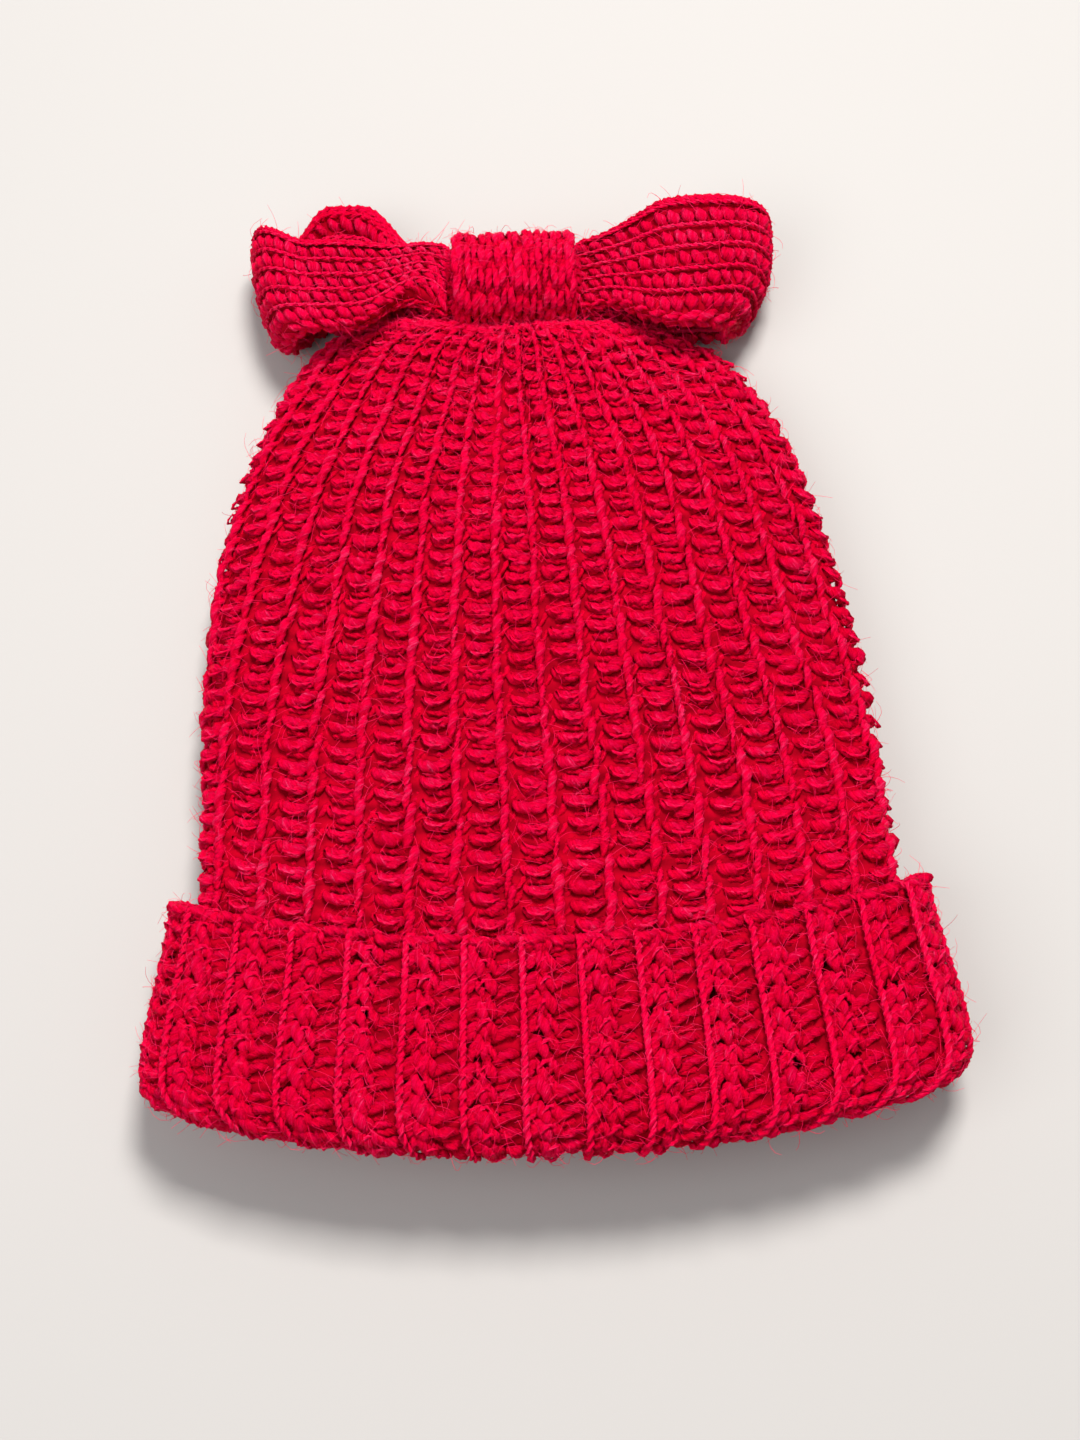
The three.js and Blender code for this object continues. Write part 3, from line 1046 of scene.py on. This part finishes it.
# The band's outer line seen from the crown: out of the wrap, round the end and back into the wrap.
def bandLine():
    x, low, high = bow["rootX"], bow["rootLow"], bow["rootHigh"]
    end, tall = bow["loopEnd"], bow["loopHeight"]
    inside = x - bow["intoWrap"]
    front = [(x, high), (x + 10, high + 2), (x + 18, tall), (54, tall), (69, tall), (end, 28), (end, 13.5)]
    back = [(end, 3.5), (68, 0.5), (x + 32, 0.5), (x + 18, 0.5), (x + 16, low - 4), (x, low)]
    places = front + back
    curves = [bezier(*places[i : i + 4], 40)[:-1] for i in (0, 3, 6, 9)]
    start = np.linspace((inside, high - 0.9), (x, high), 8)[:-1]
    line = np.vstack([start, *curves, np.linspace((x, low), (inside, low + 0.9), 8)])
    run = runOf(line)
    return alongLine(line, run, np.linspace(0, run[-1], 150))


# Goes round a flat section: its outer face, an edge, its inner face and the other edge.
# A face is some ribs wide, and an edge is one rib.
def roundSection(columns, face, flat, bend, outer, inner):
    whole = 2 * face + 2
    f = np.arange(columns) / columns * whole
    middle, reach = (outer + inner) / 2, (inner - outer) / 2
    arc1, arc2 = (np.clip(f - start, 0, 1) * math.pi for start in (face, whole - 1))
    parts = [f < face, f < face + 1, f < whole - 1]
    across = np.select(
        parts,
        [-flat + 2 * flat * f / face, flat + bend * np.sin(arc1), flat - 2 * flat * (f - (face + 1)) / face],
        -flat - bend * np.sin(arc2),
    )
    deep = np.select(
        parts,
        [outer + 0 * f, middle - reach * np.cos(arc1), inner + 0 * f],
        middle + reach * np.cos(arc2),
    )
    return across, deep


# The band as a grid: rows along it, columns round its section.
def bandGrid(which, inset, columns):
    line = bandLine()
    along = unit(np.gradient(line, axis=0))
    inward = np.stack([along[:, 1], -along[:, 0]], axis=1)
    if (inward * (np.array([48.0, 16.0]) - line)).sum() < 0:
        inward = -inward
    half, root = bow["width"] / 2 - inset, bow["rootThickness"]
    rows = []
    for (x, z), (inX, inZ) in zip(line, inward):
        thick = root + (bow["thickness"] - root) * smooth((x - bow["thickStart"]) / bow["thickOver"])
        gap = min(inset, thick / 2 - 0.5)
        bend = min(thick / 2, bow["edgeBend"]) - gap * 0.6
        across, deep = roundSection(columns, bandRibs // 2 - 1, half - bend, bend, gap, thick - gap)
        rows.append(pinched(which, x + inX * deep, across, z + inZ * deep))
    return np.array(rows)


# Draws the straight band in at the wrap, and leans its layers as they came to lie.
def pinched(which, x0, across, z):
    side = bow[which]
    root, end, half = bow["rootX"], bow["loopEnd"], bow["width"] / 2
    towardsCrown = 0.5 - across / bow["width"]
    out = np.clip((x0 - root) / (end - root), 0, 1)
    x = x0 - side["shorter"] * towardsCrown**3 * out
    isBack = smooth((bowLayers["backTop"] - z) / bowLayers["backOver"])
    isFront = smooth((z - bowLayers["frontStart"]) / bowLayers["frontOver"])

    def change(key, share):
        wait, over, last, lastOver = bowChanges[key]
        return share * smooth((x - root - wait) / over) * smooth((end + last - x) / lastOver)

    back = change("skew", side["skew"] * isBack)
    slipped = change("slip", side["slip"] * isFront * (1 - towardsCrown))
    slipped = slipped + change("droop", side["droop"] * isFront * towardsCrown)
    curled = change("curl", side["curl"] * isBack * (1 - towardsCrown) ** 2)
    narrow = bow["neckHalf"] / half
    opened = narrow + (1 - narrow) * smooth((x - bow["pinchStart"]) / (bow["pinchEnd"] - bow["pinchStart"]))
    spread = (bow["rootHalf"] - bow["neckHalf"]) / half * smooth((x0 - bow["insideWrap"]) / bow["insideOver"])
    widest, less = bow["rootSpread"]
    opened = opened + spread * (1 - smooth((x - bow["pinchStart"]) / (widest - less * towardsCrown)))
    nearWrap = isFront * (1 - smooth((x - root - bowFan["wait"]) / bowFan["over"]))
    fanned = (half - across) * side["fan"] * nearWrap * smooth((x - bowFan["startX"]) / bowFan["within"])
    y = bow["middleY"] + across * opened + back - slipped + (fanned + bow["lift"] * nearWrap)
    return np.stack([x * side["side"], y, z + curled], axis=-1)


def wrapGrid(inset, columns):
    bend, most = bow["wrapBend"], min(inset, bow["wrapBend"])
    outer, inner = bow["wrapRadius"] - inset, bow["wrapRadius"] - bow["wrapWall"] + most
    flat = bow["wrapHalfLength"] - most - bend
    across, radius = roundSection(columns, wrapRibs // 2 - 1, flat, bend, outer, inner)
    rows = []
    for turn in np.linspace(-bow["wrapOverlap"], 2 * math.pi + bow["wrapOverlap"], 120):
        y = bow["middleY"] + radius * math.cos(turn)
        rows.append(np.stack([across, y, bow["middleZ"] + radius * math.sin(turn)], axis=-1))
    return np.array(rows)


bandSurfaces = {which: KnitSurface(bandGrid(which, 0.0, 144)) for which in ("left", "right")}
wrapSurface = KnitSurface(wrapGrid(0.0, 144))


def knitBand(name, which, seed):
    surface = bandSurfaces[which]
    paths = Paths(seed)
    for rib in range(bandRibs):
        if rib == smoothEdgeRib:
            for u in smoothEdge["places"]:
                cordBetween(paths, surface, (rib + u) / bandRibs, smoothEdge)
        elif rib == openEdgeRib:
            workRib(paths, surface, edgeStitch, rib, bandRibs)
        else:
            workRib(paths, surface, bowStitch, rib, bandRibs, lean=-bow[which]["side"])
            cordBetween(paths, surface, (rib + bandCord["u"]) / bandRibs, bandCord)
    return grow(paths, name, {"Yarn": bowYarn, "Seed": float(seed)})


def knitWrap(name, seed):
    paths = Paths(seed)
    for rib in (*range(wrapRibs // 2), wrapRibs - 1):  # nothing shows of the wrap's inner face
        workRib(paths, wrapSurface, wrapStitch, rib, wrapRibs)
    return grow(paths, name, {"Yarn": bowYarn, "Seed": float(seed)})


bowLining = {"columns": 72, "clear": 0.0006, "loopInset": 1.5, "wrapInset": 1.7, "overlap": 7}
flapBlend = {"startX": 16.5, "endX": 25.0, "z": 16.4}

for which, seed in (("left", 31), ("right", 32)):
    band = knitBand(which + "LoopKnit", which, seed)
    grid = bandGrid(which, bowLining["loopInset"], bowLining["columns"])
    core = closedShell(which + "LoopLining", grid, False, bowLining["clear"])
    start, end = (
        [
            (c + o) / mmPerMetre
            for c, o in zip((flapBlend[key] * bow[which]["side"], bow["middleY"], flapBlend["z"]), shift)
        ]
        for key in ("startX", "endX")
    )
    for piece in (band, core):
        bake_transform(piece)
    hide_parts("bow_" + which + "_loop")

wrapKnit = knitWrap("wrapKnit", 33)
overlap = bowLining["overlap"]
grid = wrapGrid(bowLining["wrapInset"], bowLining["columns"])[overlap:-overlap]
wrapCore = closedShell("wrapLining", grid, True, bowLining["clear"])
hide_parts("bow_centre_wrap")
for piece in (wrapKnit, wrapCore):
    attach(piece, "bow_centre")

sewing = {
    "step": 0.45,
    "fewest": 8,
    "twist": 3.2,
    "plyOffset": 0.24,
    "plyRadius": 0.25,
    "endRadius": 0.35,
    "aside": (0.31, 0.17, 0.93),
    "depth": 0.75,
    "uneven": 0.1,
    "barThick": 2.9,
    "barInside": 0.8,
    "gatherThick": 2.6,
    "gatherInside": 1.5,
    "bindingThick": 1.6,
    "bindingInside": 0.85,
}


# Two plies twisted together along a line of points, which may close on itself.
def sewn(name, line, thick, closed, body, replaced, seed):
    line = np.array(line, dtype=float)
    if closed:
        line = np.vstack([line, line[:2]])
    run = runOf(line)
    along = np.linspace(0, run[-1], max(int(run[-1] / sewing["step"]), sewing["fewest"]))
    centre = alongLine(line, run, along)
    tangent = unit(np.gradient(centre, axis=0))
    first = unit(np.cross(tangent, np.array(sewing["aside"])))
    second = np.cross(tangent, first)
    toEnd = np.minimum(along, run[-1] - along)
    ends = np.ones(len(along)) if closed else np.clip(toEnd / thick + sewing["endRadius"], 0, 1)
    paths = Paths(seed)
    for ply in (0, math.pi):
        turn = (along * 2 * math.pi / (thick * sewing["twist"]) + ply)[:, None]
        strand = centre + (first * np.cos(turn) + second * np.sin(turn)) * thick * sewing["plyOffset"]
        paths.add(strand[None], thick * sewing["plyRadius"] * ends, sewing["depth"])
    piece = grow(paths, name, {"Yarn": sewingYarn, "Unevenness": sewing["uneven"]})
    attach(piece, body)
    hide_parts(replaced)


# The corners of a node's box, in the hat's own millimetres.
def boxOf(node):
    return [np.array(corner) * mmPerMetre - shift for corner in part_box(node)]


# Bars run from one end of their box to the other, a little inside it.
def throughBox(node, axis):
    low, high = boxOf(node)
    middle = (low + high) / 2
    start, end = middle.copy(), middle.copy()
    start[axis], end[axis] = low[axis] + sewing["barInside"], high[axis] - sewing["barInside"]
    return [start, middle, end]


# Rings lie round the middle of their box in the plane of two axes, with radii from two of its sides.
def ringInBox(node, axes, sizedBy, inside):
    low, high = boxOf(node)
    half = (high - low) / 2 - inside
    ring = []
    for turn in np.linspace(0, 2 * math.pi, 40)[:-1]:
        place = (low + high) / 2
        place[axes[0]] += half[sizedBy[0]] * math.cos(turn)
        place[axes[1]] += half[sizedBy[1]] * math.sin(turn)
        ring.append(place)
    return ring


print("sewing yarn")
for name, body, axis in (
    ("wrap_closing_stitch_1", "bow_centre", 1),
    ("wrap_closing_stitch_2", "bow_centre", 1),
    ("wrap_closing_stitch_3", "bow_centre", 1),
    ("bow_anchor_stitch_left", "hat", 0),
    ("bow_anchor_stitch_right", "hat", 0),
):
    bar = throughBox(name, axis)
    sewn(name.replace("_", "-") + "-yarn", bar, sewing["barThick"], False, body, name, 41)
gather = ringInBox("crown_gather_yarn", (0, 2), (0, 2), sewing["gatherInside"])
sewn("crown-gather-yarn", gather, sewing["gatherThick"], True, "hat", "crown_gather_yarn", 42)
binding = ringInBox("neck_binding_yarn", (1, 2), (1, 1), sewing["bindingInside"])
sewn("neck-binding-yarn", binding, sewing["bindingThick"], True, "bow_centre", "neck_binding_yarn", 43)


neck = {
    "half": 19.2,
    "places": 28,
    "strands": 14,
    "radius": 1.45,
    "inset": 1.7,
    "wave": {"rate": 0.9, "phase": 1.7, "height": 0.35},
    "depth": 0.6,
    "coreRadius": 4.2,
    "corePaintedShadeDepth": 0.1,
    "sides": 8,
    "uneven": 0.15,
}


# The pinched middle of the band, inside the wrap: strands of its stitches drawn tight together. Their low
# depths, lowest for the core, darken them as painted shade.
def neckKnit():
    paths = Paths(44)
    x = np.linspace(-neck["half"], neck["half"], neck["places"])
    wave = neck["wave"]
    for i in range(neck["strands"]):
        turn = i / neck["strands"] * 2 * math.pi
        reach = bow["neckHalf"] - neck["inset"] + np.sin(x * wave["rate"] + i * wave["phase"]) * wave["height"]
        strand = [x, bow["middleY"] + reach * math.cos(turn), bow["middleZ"] + reach * math.sin(turn)]
        paths.add(np.stack(strand, axis=1)[None], neck["radius"], neck["depth"])
    core = [x, np.full_like(x, bow["middleY"]), np.full_like(x, bow["middleZ"])]
    paths.add(np.stack(core, axis=1)[None], neck["coreRadius"], neck["corePaintedShadeDepth"])
    piece = grow(paths, "bowNeckKnit", {"Sides": neck["sides"], "Yarn": bowYarn, "Unevenness": neck["uneven"]})
    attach(piece, "bow_centre")
    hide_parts("bow_neck")


neckKnit()

# Loose fibres that stand off the yarn

print("fuzz")

looseFibres = {
    "radius": 0.075,
    "tip": 0.5,
    "length": (2.0, 7.0),
    "start": (-1.4, 0.4),
    "spread": 0.45,
    "bend": 0.6,
    "rise": (0.04, 0.5, 3),
    "arch": 2.6,
    "depth": 0.95,
}
fibreShape = {"Sides": 3, "Unevenness": 0.0, "Flatness": 1.0, "Twist per mm": 0.0}


def fuzz(name, surface, number, seed):
    paths = Paths(seed)
    look, chance = looseFibres, paths.chance
    s = chance.random(number)
    t = chance.uniform(0, surface.grid.shape[0] - 1, number)
    centre = surface.at(s, t, chance.uniform(*look["start"], number))
    outward = surface.pick(surface.normal, s, t)
    direction = chance.normal(0, 1, (number, 3))
    direction = unit(direction - outward * (direction * outward).sum(axis=1, keepdims=True))
    bendy = chance.normal(0, 1, (number, 3)) * look["spread"]
    length = chance.uniform(*look["length"], number)[:, None, None]
    least, more, power = look["rise"]
    rise = (least + more * chance.random(number) ** power)[:, None, None]
    steps = np.linspace(0, 1, 5)
    along = steps[None, :, None]
    arch = outward[:, None] * rise * np.sin(along * look["arch"])
    path = direction[:, None] * along + bendy[:, None] * along**2 * look["bend"] + arch
    radius = look["radius"] * (1 - look["tip"] * steps)
    paths.add(centre[:, None] + length * path, radius, look["depth"])
    return grow(paths, name, {"Yarn": looseFibre, **fibreShape})


for name, surface, number, body, slot, seed in (
    ("crownFuzz", crownSurface, 7200, "hat", "hat_knit", 51),
    ("cuffFuzz", cuffSurface, 4600, "hat", "hat_knit", 52),
    ("wrapFuzz", wrapSurface, 600, "bow_centre", "bow_knit", 53),
    ("leftLoopFuzz", bandSurfaces["left"], 1100, "bow_left", "bow_knit", 54),
    ("rightLoopFuzz", bandSurfaces["right"], 1100, "bow_right", "bow_knit", 55),
):
    piece = fuzz(name, surface, number, seed)
    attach(piece, body)

print("floor and lights")

floorLook = {"half": 3.0, "colour": (0.46, 0.44, 0.42, 1.0), "roughness": 0.7}
lights = {
    "keyLight": {"place": (0.18, 0.52, 1.32), "size": 0.40, "power": 27, "tint": (1.0, 0.98, 0.96)},
    "fillLight": {"place": (-0.8, -0.5, 1.2), "size": 1.0, "power": 10, "tint": (0.97, 0.98, 1.0)},
}
roomLook = {"colour": (0.85, 0.87, 0.9, 1.0), "strength": 0.44}


def addFloor(look):
    mesh = bpy.data.meshes.new("floor")
    half = look["half"]
    mesh.from_pydata([(-half, -half, 0), (half, -half, 0), (half, half, 0), (-half, half, 0)], [], [range(4)])
    material, g = newMaterial("paleFloor")
    g.surface({"Base Color": look["colour"], "Roughness": look["roughness"]})
    mesh.materials.append(material)
    newObject("floor", mesh)


def addLight(name, look):
    lamp = bpy.data.lights.new(name, "AREA")
    lamp.size = look["size"]
    lamp.energy = look["power"]
    lamp.color = look["tint"]
    holder = newObject(name, lamp)
    holder.location = look["place"]
    holder.rotation_euler = (-Vector(look["place"])).to_track_quat("-Z", "Y").to_euler()


addFloor(floorLook)
for name, look in lights.items():
    addLight(name, look)
world = bpy.data.worlds.new("softRoom")
world.use_nodes = True
background = world.node_tree.nodes["Background"]
background.inputs["Color"].default_value = roomLook["colour"]
background.inputs["Strength"].default_value = roomLook["strength"]
scene.world = world
scene.view_settings.view_transform = "Standard"
